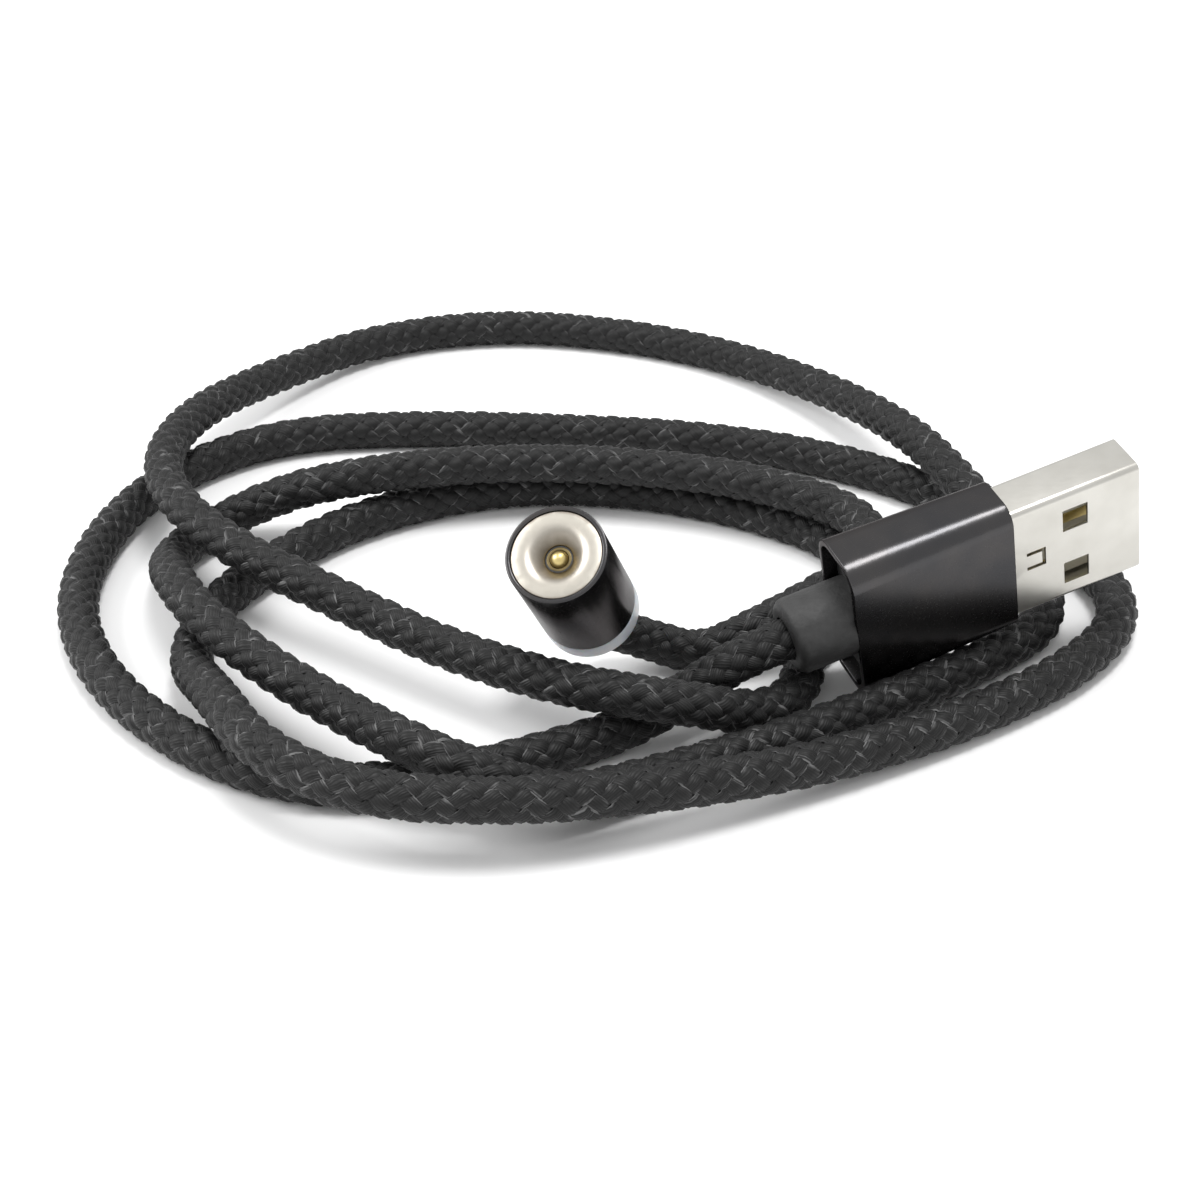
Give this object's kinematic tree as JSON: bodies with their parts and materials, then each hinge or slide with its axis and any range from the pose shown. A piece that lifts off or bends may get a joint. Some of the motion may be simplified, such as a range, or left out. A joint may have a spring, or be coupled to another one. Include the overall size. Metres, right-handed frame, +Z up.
{
  "type": "charging cable",
  "caption": "Braided charging cable lying in loose turns, with a flat rectangular power plug at one end and a round magnetic head with a sprung pin at the other.",
  "frame": {"origin": "centre of the rectangular plug's mouth plane; the table is 14.6 mm below it", "axes": "+Z up from the table; +X level, to the right as seen from the front, 19 degrees off the way the plug points; +Y away from the front"},
  "size_m": [0.0996, 0.1043, 0.0206],
  "materials": {
    "shell_steel": "satin nickel-plated steel",
    "black_aluminium": "glossy black anodised",
    "black_rubber": "matte",
    "braid": "braided polyester",
    "clear_plastic": "translucent",
    "magnet_nickel": "nickel plated",
    "gold": "gold plated",
    "brass": "plain",
    "white_plastic": "moulded",
    "inner_jacket": "soft",
    "wire_red": "insulation",
    "wire_black": "insulation",
    "spring_steel": "bright",
    "circuit_board": "solder mask",
    "led": "lens"
  },
  "bodies": {
    "cable": {"usb_shell": "shell_steel", "contact_carrier": "white_plastic", "usb_sleeve": "black_aluminium", "plug_collar": "white_plastic", "strain_relief": "black_rubber", "plug_ferrule": "brass", "plug_cable_core": "inner_jacket", "plug_wire_red": "wire_red", "plug_wire_black": "wire_black", "contact_vbus": "gold", "contact_d_minus": "gold", "contact_d_plus": "gold", "contact_ground": "gold", "cord": "braid", "head_sleeve": "black_aluminium", "light_ring": "clear_plastic", "rear_bush": "black_rubber", "magnet_ring": "magnet_nickel", "pin_bush": "wire_black", "pin_barrel": "brass", "pin_spring": "spring_steel", "head_board": "circuit_board", "head_leds": "led", "resistor": "wire_black", "ground_clip": "spring_steel", "head_ferrule": "brass", "head_cable_core": "inner_jacket", "head_wire_red": "wire_red", "head_wire_black": "wire_black"},
    "pin": {"contact_pin": "gold"}
  },
  "joints": [
    {"name": "pin_press", "type": "slide", "parent": "cable", "child": "pin", "axis": [0.2125, 0.6128, -0.7611], "range_m": [0, 0.0005], "stiffness_N_per_m": 400, "deforming": ["pin_spring"]}
  ]
}
